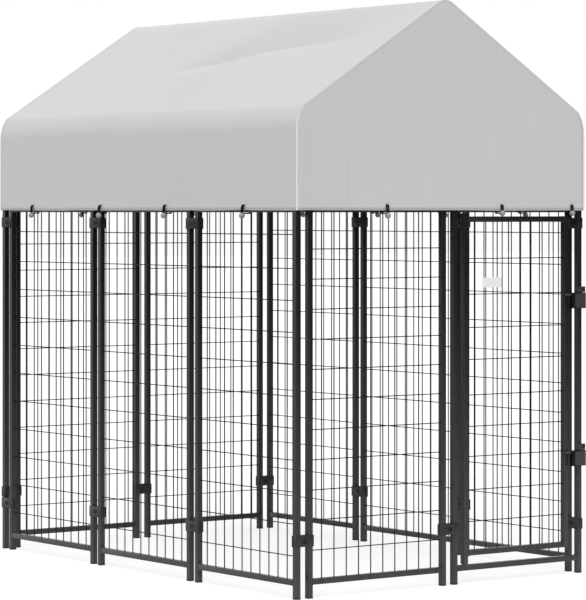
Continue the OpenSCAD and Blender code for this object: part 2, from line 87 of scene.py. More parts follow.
class Value:
    # a shader socket that takes part in sums
    def __init__(self, tree, socket):
        self.tree = tree
        self.socket = socket

    def math(self, operation, *others):
        node = self.tree.nodes.new("ShaderNodeMath")
        node.operation = operation
        for slot, item in zip(node.inputs, (self,) + others):
            if isinstance(item, Value):
                self.tree.links.new(item.socket, slot)
            else:
                slot.default_value = item
        return Value(self.tree, node.outputs[0])

    def __add__(self, other): return self.math("ADD", other)
    def __radd__(self, other): return self.math("ADD", other)
    def __sub__(self, other): return self.math("SUBTRACT", other)
    def __rsub__(self, other): return (self * -1) + other
    def __mul__(self, other): return self.math("MULTIPLY", other)
    def __rmul__(self, other): return self.math("MULTIPLY", other)
    def __truediv__(self, other): return self.math("DIVIDE", other)
    def __gt__(self, other): return self.math("GREATER_THAN", other)
    def __lt__(self, other): return self.math("LESS_THAN", other)

    def sine(self): return self.math("SINE")
    def size(self): return self.math("ABSOLUTE")
    def atLeast(self, other): return self.math("MAXIMUM", other)
    def atMost(self, other): return self.math("MINIMUM", other)


class Finish:
    # one material and its nodes
    def __init__(self, name):
        self.material = bpy.data.materials.new(name)
        self.start(self.material, "OutputMaterial")

    def start(self, holder, output):
        holder.use_nodes = True
        self.tree = holder.node_tree
        self.tree.nodes.clear()
        self.output = self.tree.nodes.new("ShaderNode" + output)

    def node(self, kind, settings=None, inputs=None, out=0):
        made = self.tree.nodes.new("ShaderNode" + kind)
        for key, value in (settings or {}).items():
            if key == "stops":
                ramp = made.color_ramp
                while len(ramp.elements) < len(value):
                    ramp.elements.new(1)
                for element, (place, colour) in zip(ramp.elements, value):
                    element.position = place
                    element.color = (*colour, 1)
            else:
                setattr(made, key, value)
        for key, value in (inputs or {}).items():
            if isinstance(value, Value):
                self.tree.links.new(value.socket, made.inputs[key])
            else:
                made.inputs[key].default_value = value
        return Value(self.tree, made.outputs[out])

    def place(self, kind="Object"):
        return self.node("TexCoord", out=kind)

    def stored(self, name):
        # a number that each vertex of the piece carries
        return self.node("Attribute", {"attribute_name": name}, out="Fac")

    def noise(self, vector, scale, detail=2.0, rough=0.5):
        inputs = {"Vector": vector, "Scale": scale, "Detail": detail, "Roughness": rough}
        return self.node("TexNoise", inputs=inputs)

    def stretch(self, vector, scale):
        return self.node("Mapping", inputs={"Vector": vector, "Scale": scale})

    def split(self, vector, axis):
        return self.node("SeparateXYZ", inputs={"Vector": vector}, out=axis)

    def blend(self, factor, *tones):
        first, second = [(*tone, 1) if isinstance(tone, tuple) else tone for tone in tones]
        return self.node("Mix", {"data_type": "RGBA"}, {0: factor, 6: first, 7: second}, 2)

    def bump(self, height, strength, distance):
        return self.node("Bump", inputs={"Height": height, "Strength": strength, "Distance": distance})

    def seen(self):
        # 1 for what the camera, a shine or a clear piece sees, 0 for what only lights
        found = self.node("LightPath", out="Is Camera Ray")
        for ray in ("Is Glossy Ray", "Is Transmission Ray"):
            found = found.atLeast(self.node("LightPath", out=ray))
        return found

    def show(self, shader):
        self.tree.links.new(shader.socket, self.output.inputs["Surface"])

    def finish(self, **inputs):
        named = {key.replace("_", " "): value for key, value in inputs.items()}
        self.show(self.node("BsdfPrincipled", inputs=named))
        return self.material


class Sky(Finish):
    # the world and its nodes
    def __init__(self, name):
        self.world = bpy.data.worlds.new(name)
        self.start(self.world, "OutputWorld")


def grey(level):
    return (level, level, level)


powder = {
    "peel": 900, "peelBump": (0.2, 0.0005), "smear": (8, 8, 4), "smearSize": 4, "smearRough": 0.14, "smooth": 0.06,
    # pale dust together with a painted reflection of the floor, both lighter towards the bottom
    "dust": (0.10, 0.098, 0.095), "dustHeight": 1.1, "dustLeast": 0.35,
    # darkest and lightest tone, roughness, size of the clouds, shine, share of dust and painted floor light
    "framePowder": ((0.005, 0.005, 0.0053), (0.010, 0.010, 0.0104), 0.27, 9, 0.29, 0.62),
    "wirePowder": ((0.003, 0.003, 0.0031), (0.007, 0.007, 0.0072), 0.42, 9, 0.10, 0.08),
    "latchPowder": ((0.010, 0.010, 0.0103), (0.058, 0.058, 0.059), 0.30, 110, 0.29, 0.62),
    # near-black latch case: painted shade for its uncovered left part
    "casePowder": ((0.002, 0.002, 0.0021), (0.005, 0.005, 0.0052), 0.40, 60, 0.10, 0.10),
    "clampPowder": ((0.003, 0.003, 0.0031), (0.012, 0.012, 0.0124), 0.34, 60, 0.23, 0.50),
}


def powderCoat(name):
    dark, light, rough, cloudSize, shine, dusty = powder[name]
    coat = Finish(name)
    at = coat.place()
    cloud = coat.noise(at, cloudSize, 3)
    peel = coat.noise(at, powder["peel"], 1)
    smear = coat.noise(coat.stretch(at, powder["smear"]), powder["smearSize"], 4, 0.6)
    # lower parts lighter: dust and a painted reflection of the pale floor, strongest near the floor
    low = (1 - coat.split(at, "Z") / powder["dustHeight"]).atLeast(0)
    dust = (low * low * (powder["dustLeast"] + smear)).atMost(1) * dusty
    tone = coat.blend(dust, coat.blend(cloud, dark, light), powder["dust"])
    return coat.finish(Base_Color=tone, Roughness=rough - powder["smooth"] + powder["smearRough"] * smear,
                       Normal=coat.bump(peel, *powder["peelBump"]), Specular_IOR_Level=shine)


zinc = {
    "grain": (1, 1, 9), "grainSize": 260, "cloudSize": 60, "metal": 0.8, "rough": 0.34, "grainRough": 0.2,
    "bump": (0.15, 0.0004),
    # darkest and lightest tone
    "darkZinc": ((0.05, 0.05, 0.052), (0.12, 0.12, 0.123)),
    "boltZinc": ((0.006, 0.006, 0.0062), (0.030, 0.030, 0.031)),
}


def zincPlate(name):
    plate = Finish(name)
    at = plate.place()
    grain = plate.noise(plate.stretch(at, zinc["grain"]), zinc["grainSize"], 2)
    cloud = plate.noise(at, zinc["cloudSize"], 3)
    return plate.finish(Base_Color=plate.blend(cloud, *zinc[name]), Metallic=zinc["metal"],
                        Roughness=zinc["rough"] + zinc["grainRough"] * grain,
                        Normal=plate.bump(grain, *zinc["bump"]))


eyelet = {
    "hole": 0.0046, "dark": grey(0.50), "light": (0.66, 0.66, 0.65), "cloudSize": 220,
    "metal": 0.85, "rough": 0.38, "cloudRough": 0.2, "bump": (0.1, 0.0003),
}


def eyeletMetal():
    metal = Finish("eyeletMetal")
    cloud = metal.noise(metal.place(), eyelet["cloudSize"], 3)
    return metal.finish(Base_Color=metal.blend(cloud, eyelet["dark"], eyelet["light"]), Metallic=eyelet["metal"],
                        Roughness=eyelet["rough"] + eyelet["cloudRough"] * cloud,
                        Normal=metal.bump(cloud, *eyelet["bump"]))


moulded = {
    "cloudSize": 40, "smooth": 0.05, "grainRough": 0.12, "bump": (0.2, 0.0004),
    # darkest and lightest tone, roughness, size of the grain
    "blackPlastic": (grey(0.006), grey(0.014), 0.55, 700),
    "ballPlastic": ((0.28, 0.28, 0.278), (0.36, 0.36, 0.356), 0.30, 500),
    "tagPlastic": ((0.93, 0.93, 0.925), (0.97, 0.97, 0.965), 0.40, 900),
}


def mouldedPlastic(name):
    dark, light, rough, grainSize = moulded[name]
    plastic = Finish(name)
    at = plastic.place()
    grain = plastic.noise(at, grainSize, 2)
    cloud = plastic.noise(at, moulded["cloudSize"], 2)
    return plastic.finish(Base_Color=plastic.blend(cloud, dark, light),
                          Roughness=rough - moulded["smooth"] + moulded["grainRough"] * grain,
                          Normal=plastic.bump(grain, *moulded["bump"]))


braiding = {
    "turns": 2900, "dark": grey(0.002), "light": grey(0.008), "rough": 0.8, "shine": 0.08, "bump": (0.5, 0.0004),
}


def braidedElastic():
    braid = Finish("braidedElastic")
    at = braid.place()
    across = braid.split(at, "X") + braid.split(at, "Y")
    up = braid.split(at, "Z")
    one = ((across + up) * braiding["turns"]).sine()
    two = ((across - up) * braiding["turns"]).sine()
    rib = one.atLeast(two)
    tone = braid.blend(rib * 0.5 + 0.5, braiding["dark"], braiding["light"])
    return braid.finish(Base_Color=tone, Roughness=braiding["rough"], Specular_IOR_Level=braiding["shine"],
                        Normal=braid.bump(rib, *braiding["bump"]))


cloth = {
    # darkest stop: painted shade in the folds; lightest stop: painted highlight
    "dusty": (0.571, 0.572, 0.574), "shade": (0.606, 0.607, 0.609),
    "bright": (0.676, 0.677, 0.679), "rubbed": (0.711, 0.712, 0.714), "soil": 0.42,
    "rib": 0.0039, "thread": 0.0013, "streak": (60, 1.2, 1), "yarn": (320, 2.5, 1), "cloudSize": 2.2,
    "streakShare": 0.12, "yarnShare": 0.83, "ribShare": 0.05, "cloudShare": 0.35,
    "gableCut": 10, "roofThreads": 0.25, "bump": (0.18, 0.0005),
    "rough": 0.60, "streakRough": 0.12, "sheen": 0.06, "shine": 0.32,
    # hemEdge: width of the painted highlight along the folded hem edge
    "hem": 0.024, "hemShare": 0.3, "hemEdge": 0.0034, "edgeTone": grey(0.80),
    "stitchUp": (0.005, 0.020), "stitch": 0.0046, "stitchWide": 0.0007, "stitchShare": 0.6, "stitchTone": grey(0.50),
    "seamIn": 0.0085, "seamWide": 0.0011, "seamShare": 0.45, "sewnShare": 0.55, "sewnTone": grey(0.49),
    # seam cord: painted highlight tone, the height up to which it reaches, and its fade
    "weltTone": grey(0.88), "weltTop": 1.60, "weltFade": 0.05, "weltRough": 0.58, "weltBump": (0.15, 0.0004),
}


def coatedCloth():
    weave = Finish("coatedCloth")
    at = weave.place("UV")
    across, down = weave.split(at, "X"), weave.split(at, "Y")
    rib = (across * (2 * math.pi / cloth["rib"])).sine()
    weft = (down * (2 * math.pi / cloth["thread"])).sine()
    streak = weave.noise(weave.stretch(at, cloth["streak"]), 1.0, 3, 0.5)
    yarn = weave.noise(weave.stretch(at, cloth["yarn"]), 1.0, 2, 0.6)
    cloud = weave.noise(at, cloth["cloudSize"], 3)
    # the roof sheet shows its threads less than the gables, which are cut further along
    ribbed = (down > cloth["gableCut"] / 2) * (1 - cloth["roofThreads"]) + cloth["roofThreads"]
    threads = streak * cloth["streakShare"] + yarn * cloth["yarnShare"] + rib * cloth["ribShare"]
    threads = threads - (cloth["streakShare"] + cloth["yarnShare"]) / 2
    # the fold tone of each vertex paints shade, down to the darkest stop, and highlights, up to the lightest stop
    tone = threads * ribbed + (cloud - 0.5) * cloth["cloudShare"] + 0.5 - weave.stored("foldSoil") * cloth["soil"]
    stops = list(zip((0, 0.25, 0.75, 1), [cloth[key] for key in ("dusty", "shade", "bright", "rubbed")]))
    plain = weave.node("ValToRGB", {"stops": stops}, {"Fac": tone})
    # hem: a turned-up double layer with two lines of stitching and a painted highlight along its folded edge
    up = weave.stored("hemUp")
    turnedUp = up < cloth["hem"]
    dash = (across * (2 * math.pi / cloth["stitch"])).sine() > -0.55
    lines = [((up - level).size() < cloth["stitchWide"]) * dash for level in cloth["stitchUp"]]
    stitches = lines[0] + lines[1]
    hemmed = weave.blend(turnedUp * cloth["hemShare"], plain, cloth["bright"])
    hemmed = weave.blend(stitches * cloth["stitchShare"], hemmed, cloth["stitchTone"])
    hemmed = weave.blend(up < cloth["hemEdge"], hemmed, cloth["edgeTone"])
    # gable seam: a doubled strip along the edge, ending at a sewn line
    inside = weave.stored("seamIn")
    doubled = inside < cloth["seamIn"]
    sewn = (inside - cloth["seamIn"]).size() < cloth["seamWide"]
    seamed = weave.blend(doubled * cloth["seamShare"], hemmed, cloth["bright"])
    seamed = weave.blend(sewn * cloth["sewnShare"], seamed, cloth["sewnTone"])
    height = rib * 0.5 + weft * 0.2 + streak * 0.3
    height = height + turnedUp * 2.5 - stitches * 2.0 + doubled * 2.0 - sewn * 2.0
    return weave.finish(Base_Color=seamed, Roughness=cloth["rough"] + cloth["streakRough"] * streak,
                        Sheen_Weight=cloth["sheen"], Specular_IOR_Level=cloth["shine"],
                        Normal=weave.bump(height, *cloth["bump"]))


def pipedCloth():
    # seam cord: painted highlight down the corners, as the roof cloth along the slopes
    welt = Finish("weltCloth")
    at = welt.place()
    height = welt.split(at, "Z")
    weft = (height * (2 * math.pi / cloth["thread"])).sine()
    cloud = welt.noise(at, 30, 2)
    low = ((cloth["weltTop"] - height) / cloth["weltFade"]).atLeast(0).atMost(1)
    tone = welt.blend(low, welt.blend(cloud, cloth["shade"], cloth["bright"]), cloth["weltTone"])
    return welt.finish(Base_Color=tone, Roughness=cloth["weltRough"] + 0.1 * cloud,
                       Normal=welt.bump(weft, *cloth["weltBump"]))


framePaint = powderCoat("framePowder")
wirePaint = powderCoat("wirePowder")
latchPaint = powderCoat("latchPowder")
paintedShadeCasePaint = powderCoat("casePowder")
clampPaint = powderCoat("clampPowder")
darkZinc = zincPlate("darkZinc")
boltZinc = zincPlate("boltZinc")
blackPlastic = mouldedPlastic("blackPlastic")
ballPlastic = mouldedPlastic("ballPlastic")
tagPlastic = mouldedPlastic("tagPlastic")
cordElastic = braidedElastic()
clothCover = coatedCloth()
weltCloth = pipedCloth()
bySlot = {
    "frame_paint": framePaint, "wire_paint": wirePaint, "latch_paint": latchPaint, "dark_zinc": darkZinc,
    "black_plastic": blackPlastic, "ball_plastic": ballPlastic, "tag_plastic": tagPlastic,
    "elastic_cord": cordElastic, "cover_cloth": clothCover,
}
for nodeName, slot in slotOf.items():
    mesh = nodes[nodeName].data
    mesh.materials.clear()
    mesh.materials.append(bySlot[slot])
nodes["cover_grommets"].data.materials[0] = eyeletMetal()
print("finishes set:", len(bySlot))


def pieceFrom(bm, name, material, body, smooth=True):
    mesh = bpy.data.meshes.new(name)
    bm.to_mesh(mesh)
    bm.free()
    mesh.materials.append(material)
    for face in mesh.polygons:
        face.use_smooth = smooth
    piece = bpy.data.objects.new(name, mesh)
    bpy.context.scene.collection.objects.link(piece)
    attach(piece, body)
    return piece


def pieceFromCurve(curve, name, material, body):
    holder = bpy.data.objects.new(name + "Line", curve)
    mesh = bpy.data.meshes.new_from_object(holder)
    bpy.data.objects.remove(holder)
    bm = bmesh.new()
    bm.from_mesh(mesh)
    return pieceFrom(bm, name, material, body)


def roundCurve(name, radius):
    curve = bpy.data.curves.new(name, "CURVE")
    curve.dimensions = "3D"
    curve.bevel_depth = radius
    curve.bevel_resolution = 2
    return curve


def roundEdges(bm, geom, offset, segments=2, affect="EDGES"):
    return bmesh.ops.bevel(bm, geom=geom, offset=offset, segments=segments, profile=0.5, affect=affect, material=-1)


def copyOf(nodeName, merge=1e-6):
    bm = bmesh.new()
    bm.from_mesh(nodes[nodeName].data)
    bmesh.ops.remove_doubles(bm, verts=bm.verts, dist=merge)
    return bm


def pieceName(nodeName):
    first, *rest = nodeName.split("_")
    return first + "".join(word.title() for word in rest)


def wallFacing(spot, onSide):
    # outward direction of the wall that a spot is on
    if onSide:
        return Vector((math.copysign(1, spot.x), 0, 0))
    return Vector((0, math.copysign(1, spot.y), 0))


def solidsOf(nodeName):
    # lowest and highest corner of each separate solid in a node
    bm = copyOf(nodeName)
    spots, met = [], set()
    for start in bm.verts:
        if start in met:
            continue
        group, todo = [], [start]
        met.add(start)
        while todo:
            vert = todo.pop()
            group.append(vert.co.copy())
            for edge in vert.link_edges:
                other = edge.other_vert(vert)
                if other not in met:
                    met.add(other)
                    todo.append(other)
        spots.append((Vector([min(p[i] for p in group) for i in range(3)]),
                      Vector([max(p[i] for p in group) for i in range(3)])))
    bm.free()
    return spots


def middlesOf(nodeName):
    return [(low + high) / 2 for low, high in solidsOf(nodeName)]


tieSpots = middlesOf("cover_grommets")
tieBalls = middlesOf("tie_balls")


# the cover follows the hoops: skirts, eaves that crease and then bend, slopes and a bent ridge
cover = {
    "eave": 1.588, "ridge": 1.982, "ridgeBend": 0.06, "creaseTurn": 20, "creaseBend": 0.008, "eaveBend": 0.123,
    "thick": 0.0012, "rows": 200, "columns": 150, "gableColumns": 84, "gableCloth": 1.0, "edgeFade": 0.03,
    "sag": 0.005, "crease": 0.0014, "fineShare": 0.45, "hoopShare": 0.25,
    # noise drawn out aslant: scales in y and along, along and y, and its place in the noise
    "leanNoise": (2.3, 3.1, 1.4, 0.9, 3.7), "fineNoise": (6.0, 8.0, 2.0, 1.5, 9.1),
    "skirtWave": 0.0010, "skirtNoise": (4.2, 1.2, 5.5), "skirtFade": (0.1, 0.07),
    "hemWave": 0.0022, "hemNoise": (5.0, 2.2, 0.4), "hemHigh": 0.02,
    "gableWave": 0.0016, "gableNoise": (5.0, 1.3, 7), "gableEdge": 0.05, "gableFade": 0.08,
    # pulled folds that fan out from each end of the ridge: end, side, angle, width, first and last reach
    "pulls": [(-1, -1, 0.16, 0.045, 0.25, 1.25), (-1, -1, 0.47, 0.06, 0.2, 0.7),
              (-1, 1, 0.20, 0.05, 0.2, 1.1), (-1, 1, 0.42, 0.06, 0.2, 0.75),
              (1, -1, 0.22, 0.05, 0.2, 0.9), (1, -1, 0.45, 0.07, 0.2, 0.6),
              (1, 1, 0.18, 0.05, 0.25, 1.1), (1, 1, 0.36, 0.06, 0.2, 0.8)],
    "pull": 0.0022, "pullFade": (0.3, 0.4), "narrowPull": 0.055, "pullRise": 6,
}
# slack cloth that stands off below a slanting fold, with painted shade above the fold line and painted highlights
# below it and along the ridge
slack = {
    # end, side, height
    "folds": [(-1, -1, 0.018), (1, 1, 0.012), (-1, 1, 0.002), (1, -1, 0.003)],
    "line": (0.195, 0.212), "wide": 0.075, "run": 0.36,
    "start": 0.1, "startFade": 0.45, "stop": 0.86, "stopLean": 0.55, "stopFade": 0.3,
    "dipWide": 0.04, "dipFrom": 0.08, "dipFade": 0.2, "dipEnd": 0.5,
    "crestDown": 0.04, "crestWide": 0.03, "crestShare": 0.3,
    # width, start and fade of the painted highlight along the ridge, and its strength
    "rubWide": 0.04, "rubFrom": 0.4, "rubFade": 0.3, "rubShare": 1.1,
}
sheetLow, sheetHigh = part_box("canopy_top_sheet")
coverW = sheetHigh.x
coverL = sheetHigh.y
hemZ = sheetLow.z
slope = math.atan((cover["ridge"] - cover["eave"]) / coverW)
turned = slope + math.radians(cover["creaseTurn"])
ridgeC = cover["ridge"] - cover["ridgeBend"] / math.cos(slope)
ridgeX = cover["ridgeBend"] * math.sin(slope)
ridgeZ = ridgeC + cover["ridgeBend"] * math.cos(slope)
creaseX = cover["creaseBend"] * (math.sin(turned) - math.sin(slope))
creaseZ = cover["creaseBend"] * (math.cos(slope) - math.cos(turned))
foldX = coverW - creaseX - cover["eaveBend"] * (1 - math.sin(turned))
foldZ = cover["eave"] + (coverW - foldX) * math.tan(slope)
skirtTop = foldZ - creaseZ - cover["eaveBend"] * math.cos(turned)
# lengths of cloth from the ridge down, and the share of the rows that each gets
ridgeArc = cover["ridgeBend"] * slope
slopeRun = math.hypot(foldX - ridgeX, ridgeZ - foldZ)
creaseArc = cover["creaseBend"] * (turned - slope)
eaveArc = cover["eaveBend"] * (math.pi / 2 - turned)
skirtRun = skirtTop - hemZ
spans = [(ridgeArc, 0.06), (slopeRun, 0.54), (creaseArc, 0.05), (eaveArc, 0.15), (skirtRun, 0.20)]
halfRun = sum(length for length, share in spans)


def alongOf(share):
    # rows from the ridge to the hem, as a length of cloth
    done = 0
    for length, part in spans:
        if share <= part:
            return done + length * share / part
        done += length
        share -= part
    return halfRun


def outline(along):
    # signed distance from the ridge along the cloth, to its place and outward direction
    side = 1 if along >= 0 else -1
    left = abs(along)
    if left < ridgeArc:
        turn = left / cover["ridgeBend"]
        x, z = cover["ridgeBend"] * math.sin(turn), ridgeC + cover["ridgeBend"] * math.cos(turn)
    elif left < ridgeArc + slopeRun:
        turn = slope
        x = ridgeX + (left - ridgeArc) * math.cos(slope)
        z = ridgeZ - (left - ridgeArc) * math.sin(slope)
    elif left < ridgeArc + slopeRun + creaseArc:
        turn = slope + (left - ridgeArc - slopeRun) / cover["creaseBend"]
        x = foldX + cover["creaseBend"] * (math.sin(turn) - math.sin(slope))
        z = foldZ - cover["creaseBend"] * (math.cos(slope) - math.cos(turn))
    elif left < halfRun - skirtRun:
        turn = turned + (left - ridgeArc - slopeRun - creaseArc) / cover["eaveBend"]
        x = foldX + creaseX + cover["eaveBend"] * (math.sin(turn) - math.sin(turned))
        z = foldZ - creaseZ - cover["eaveBend"] * (math.cos(turned) - math.cos(turn))
    else:
        turn = math.pi / 2
        x, z = coverW, skirtTop - (left - halfRun + skirtRun)
    return Vector((side * x, 0, z)), Vector((side * math.sin(turn), 0, math.cos(turn)))


def smooth01(t):
    t = min(max(t, 0), 1)
    return t * t * (3 - 2 * t)


def hump(t):
    return math.exp(-t * t)


def bayLift(y):
    # none over a hoop, full half way to the next
    bay = (y + run["halfLength"]) / (2 * run["halfLength"] / 3)
    return 0 if bay <= 0 or bay >= 3 else math.sin(math.pi * (bay % 1)) ** 2


def slantNoise(along, y, scales):
    yOne, alongOne, alongTwo, yTwo, depth = scales
    return noise.noise(Vector((y * yOne + along * alongOne, along * alongTwo - y * yTwo, depth)))


def slackAt(along, y):
    # how far the slack cloth stands off, and the painted shade and painted highlights of its fold
    lift, soil = 0, 0
    for end, slackSide, height in slack["folds"]:
        if slackSide * along > 0:
            reach, left = coverL - end * y, abs(along)
            above = slack["line"][0] + slack["line"][1] * reach - left
            fade = smooth01((reach - slack["start"]) / slack["startFade"])
            fade *= smooth01((slack["stop"] + slack["stopLean"] * left - reach) / slack["stopFade"] + 0.5)
            below = smooth01(0.5 - above / slack["wide"]) * smooth01(above / slack["run"] + 1)
            lift += height * fade * below
            # painted shade above the fold line, thinning further up, and a painted highlight on the crest just below
            # it
            dip = smooth01(above / slack["dipWide"] + 0.5)
            dip *= 1 - slack["dipEnd"] * smooth01((above - slack["dipFrom"]) / slack["dipFade"])
            crest = slack["crestShare"] * hump((above + slack["crestDown"]) / slack["crestWide"])
            # painted highlight in a strip along the ridge
            rubbed = hump(left / slack["rubWide"]) * smooth01((reach - slack["rubFrom"]) / slack["rubFade"])
            tone = (dip - crest) * fade - slack["rubShare"] * rubbed
            soil += tone * height / slack["folds"][0][2]
    return lift, soil


def pulledFold(along, y, q):
    # narrow folds stand up and wide ones sink
    rise = 0
    for end, pullSide, angle, width, near, far in cover["pulls"]:
        if pullSide * along > 0:
            left, reach = abs(along), coverL - end * y
            away = math.hypot(left, reach)
            fade = smooth01((away - near) / cover["pullFade"][0]) * smooth01((far - away) / cover["pullFade"][1])
            way = 1 if width < cover["narrowPull"] else -1
            off = (math.atan2(left, reach) - angle) / width
            rise += cover["pull"] * fade * hump(off) * way * min(1, cover["pullRise"] * q)
    return rise


def clothGive(along, y):
    # how far the cloth stands in or out from its plain form
    left = abs(along)
    q = min(max((left - ridgeArc) / slopeRun, 0), 1)
    bay = bayLift(y)
    give = -cover["sag"] * bay * math.sin(math.pi * q)
    ripple = slantNoise(along, y, cover["leanNoise"])
    ripple += cover["fineShare"] * slantNoise(along, y, cover["fineNoise"])
    free = cover["hoopShare"] + (1 - cover["hoopShare"]) * bay
    give += cover["crease"] * ripple * math.sin(math.pi * q) * free
    give += pulledFold(along, y, q) + slackAt(along, y)[0]
    hang = left - halfRun + skirtRun
    if hang > 0:
        ySize, alongSize, depth = cover["skirtNoise"]
        wave = noise.noise(Vector((y * ySize, along * alongSize, depth)))
        fade = smooth01(hang / cover["skirtFade"][0]) * smooth01((skirtRun - hang) / cover["skirtFade"][1])
        give += cover["skirtWave"] * wave * fade
    return give


def hemDrop(place, low):
    # the hem rises and falls a little
    size, row, depth = cover["hemNoise"]
    return cover["hemWave"] * noise.noise(Vector((place * size, row, depth))) * smooth01(1 - low / cover["hemHigh"])


def onSheet(a, b):
    # place, place on the cut, height over the hem, distance from the end seam, painted fold shade and highlight
    y = (2 * a - 1) * coverL
    along = math.copysign(alongOf(abs(2 * b - 1)), 2 * b - 1)
    point, out = outline(along)
    edge = smooth01((coverL - abs(y)) / cover["edgeFade"])
    point = point + out * clothGive(along, y) * edge
    point.y = y
    point.z += hemDrop(y, halfRun - abs(along)) * edge
    return point, (y, along), halfRun - abs(along), coverL - abs(y), slackAt(along, y)[1] * edge


def onGable(end, a, b):
    point, out = outline(-alongOf(1 - b))
    x = point.x * (1 - 2 * a)
    up = point.z - hemZ
    inner = smooth01((abs(point.x) - abs(x)) / cover["gableEdge"])
    xSize, zSize, depth = cover["gableNoise"]
    wave = noise.noise(Vector((x * xSize, point.z * zSize, depth + end)))
    bulge = cover["gableWave"] * wave * inner * smooth01(up / cover["gableFade"])
    z = point.z + hemDrop(x + 3 * end, up) * inner
    seam = (abs(point.x) - abs(x)) * abs(out.x)
    return Vector((x, end * (coverL + bulge), z)), (x, point.z + cloth["gableCut"]), up, seam, 0


def openEyelets(bm):
    # an eyelet hole is a vertex opened out and emptied
    holes = []
    for spot in tieSpots:
        level = [v for v in bm.verts if abs(v.co.z - spot.z) < 0.02]
        near = min(level, key=lambda v: (v.co - spot).length)
        if abs(near.co.y) > coverL - 0.001:
            near.co = Vector((spot.x, near.co.y, spot.z))
        else:
            near.co = Vector((near.co.x, spot.y, spot.z))
        holes.append(near)
    opened = roundEdges(bm, holes, eyelet["hole"], affect="VERTICES")
    caps = [f for f in opened["faces"] if f.calc_area() > 0.25 * math.pi * eyelet["hole"] ** 2]
    bmesh.ops.delete(bm, geom=caps, context="FACES")


def makeCover():
    bm = bmesh.new()
    uv = bm.loops.layers.uv.new("cut")
    hemUp = bm.verts.layers.float.new("hemUp")
    seamIn = bm.verts.layers.float.new("seamIn")
    # painted fold shade and highlight, carried by each vertex
    foldSoil = bm.verts.layers.float.new("foldSoil")
    flatPlace = {}

    def addGrid(across, up, placeOf):
        for vert in bmesh.ops.create_grid(bm, x_segments=across, y_segments=up, size=0.5)["verts"]:
            place, cut, vert[hemUp], vert[seamIn], vert[foldSoil] = placeOf(vert.co.x + 0.5, vert.co.y + 0.5)
            vert.co = place
            flatPlace[vert] = cut

    addGrid(cover["columns"], cover["rows"], onSheet)
    for end in (-1, 1):
        addGrid(cover["gableColumns"], cover["rows"] // 2, lambda a, b: onGable(end, a, b))
    for face in bm.faces:
        for loop in face.loops:
            loop[uv].uv = flatPlace[loop.vert]
    bmesh.ops.remove_doubles(bm, verts=bm.verts, dist=0.00002)
    openEyelets(bm)
    bmesh.ops.recalc_face_normals(bm, faces=bm.faces)
    top = max(bm.faces, key=lambda f: f.calc_center_median().z)
    if top.normal.z < 0:
        bmesh.ops.reverse_faces(bm, faces=bm.faces)
    area = sum(f.calc_area() for f in bm.faces)
    piece = pieceFrom(bm, "roofCover", clothCover, "kennel")
    wall = piece.modifiers.new("wall", "SOLIDIFY")
    wall.thickness = cover["thick"]
    wall.offset = -1
    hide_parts("canopy_top_sheet", "canopy_front_gable", "canopy_back_gable")
    return piece, area


roofCover, coverArea = makeCover()
print("cover made:", round(coverArea, 3), "square metres")


# seam cord sewn into both end edges of the cover
piping = {"radius": 0.0027, "slopeShare": 0.6, "steps": 200, "sunk": 0.0008}


def makePiping(name, end):
    curve = roundCurve(name, piping["radius"])
    line = curve.splines.new("POLY")
    line.points.add(piping["steps"])
    for i, point in enumerate(line.points):
        share = 2 * i / piping["steps"] - 1
        spot, out = outline(math.copysign(alongOf(abs(share)), share))
        spot = spot - out * piping["sunk"]
        point.co = (spot.x, end * (coverL - piping["sunk"]), spot.z, 1)
        point.radius = 1 if spot.z < skirtTop else piping["slopeShare"]
    return pieceFromCurve(curve, name, weltCloth, "kennel")


seams = [makePiping("frontSeam", -1), makePiping("backSeam", 1)]
2 * halfRun
print("seams sewn:", len(seams))


def panelPlace(x, y, turn):
    return Matrix.Translation((x, y, 0)) @ Matrix.Rotation(math.radians(turn), 4, "Z")


wide, long, gap = run["halfWidth"], run["halfLength"], run["joint"]
side, front, back = run["sidePanel"], run["frontPanel"], run["backPanel"]
sidePanels = [(panelPlace(-wide, long - gap - i * (gap + side), -90), side) for i in range(3)]
sidePanels += [(panelPlace(wide, -long + gap + i * (gap + side), 90), side) for i in range(3)]
endPanels = [(panelPlace(wide - gap - i * (gap + back), long, 180), back) for i in range(2)]
endPanels.append((panelPlace(-wide + gap, -long, 0), front))
doorPanel = panelPlace(-wide + 2 * gap + front, -long, 0)
leaf = {
    "hinge": 0.046, "latch": 0.497, "low": 0.1035, "high": 1.2335, "shift": 0.0035,
    "rows": [0.208, 0.3155, 0.4285, 0.5305, 0.637, 0.7575, 0.866, 0.979, 1.1],
}

# weld beads where rails meet posts, and a dab at each wire crossing
welds = {"bead": 0.0022, "proud": 0.0006, "round": 0.0007, "dab": 0.0021}


def addBeads(bm, place, first, last, heights):
    reach = run["tube"] + 2 * welds["proud"]
    inside = (run["tube"] + welds["bead"]) / 2
    for z in heights:
        for x in (first + inside, last - inside):
            where = place @ Matrix.Translation((x, 0, z)) @ Matrix.Diagonal((welds["bead"], reach, reach, 1))
            made = bmesh.ops.create_cube(bm, size=1, matrix=where)["verts"]
            roundEdges(bm, list({e for v in made for e in v.link_edges}), welds["round"])


def addDabs(bm, place, first, last, rows, shift=0):
    across = int((last - first - run["tube"]) / run["wirePitch"])
    start = (first + last - (across - 1) * run["wirePitch"]) / 2 - shift
    for i in range(across):
        for z in rows:
            where = place @ Matrix.Translation((start + i * run["wirePitch"], run["uprightWire"] / 2, z))
            bmesh.ops.create_icosphere(bm, subdivisions=1, radius=welds["dab"], matrix=where)


